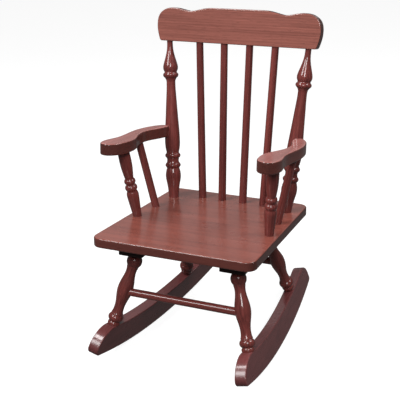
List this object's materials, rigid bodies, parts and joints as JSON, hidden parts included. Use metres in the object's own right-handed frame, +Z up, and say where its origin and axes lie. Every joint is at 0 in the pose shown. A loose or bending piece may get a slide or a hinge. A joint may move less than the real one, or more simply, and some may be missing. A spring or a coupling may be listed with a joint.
{
  "type": "rocking chair",
  "caption": "Child-size wooden rocking chair with a spindle back, shaped crest rail, turned posts and legs, curved arms and two bowed rockers",
  "frame": {"origin": "on the floor, below the centre of the chair: mid-width and half-way along the rockers", "axes": "+X the right of the chair as seen from the front, +Y toward the back, +Z up"},
  "size_m": [0.3874, 0.5184, 0.6919],
  "materials": {
    "seat_wood": "gloss lacquer over red-brown stain",
    "crest_wood": "gloss lacquer over red-brown stain",
    "arm_wood": "gloss lacquer over red-brown stain",
    "turned_wood": "gloss lacquer over dark red-brown stain",
    "under_wood": "gloss lacquer over dark red-brown stain",
    "dowel_wood": "bare",
    "steel": "zinc plated"
  },
  "bodies": {
    "root": {"arm_dowels": "dowel_wood", "arm_left": "arm_wood", "arm_post_left": "turned_wood", "arm_post_right": "turned_wood", "arm_right": "arm_wood", "arm_spindle_left": "turned_wood", "arm_spindle_right": "turned_wood", "back_post_left": "turned_wood", "back_post_right": "turned_wood", "back_spindle_1": "turned_wood", "back_spindle_2": "turned_wood", "back_spindle_3": "turned_wood", "back_spindle_4": "turned_wood", "block_screws": "steel", "crest_rail": "crest_wood", "leg_block_front_left": "under_wood", "leg_block_front_right": "under_wood", "leg_block_rear_left": "under_wood", "leg_block_rear_right": "under_wood", "leg_front_left": "turned_wood", "leg_front_right": "turned_wood", "leg_rear_left": "turned_wood", "leg_rear_right": "turned_wood", "rocker_left": "under_wood", "rocker_right": "under_wood", "seat_panel": "seat_wood", "stretcher_front": "turned_wood", "stretcher_rear": "turned_wood"}
  },
  "joints": []
}
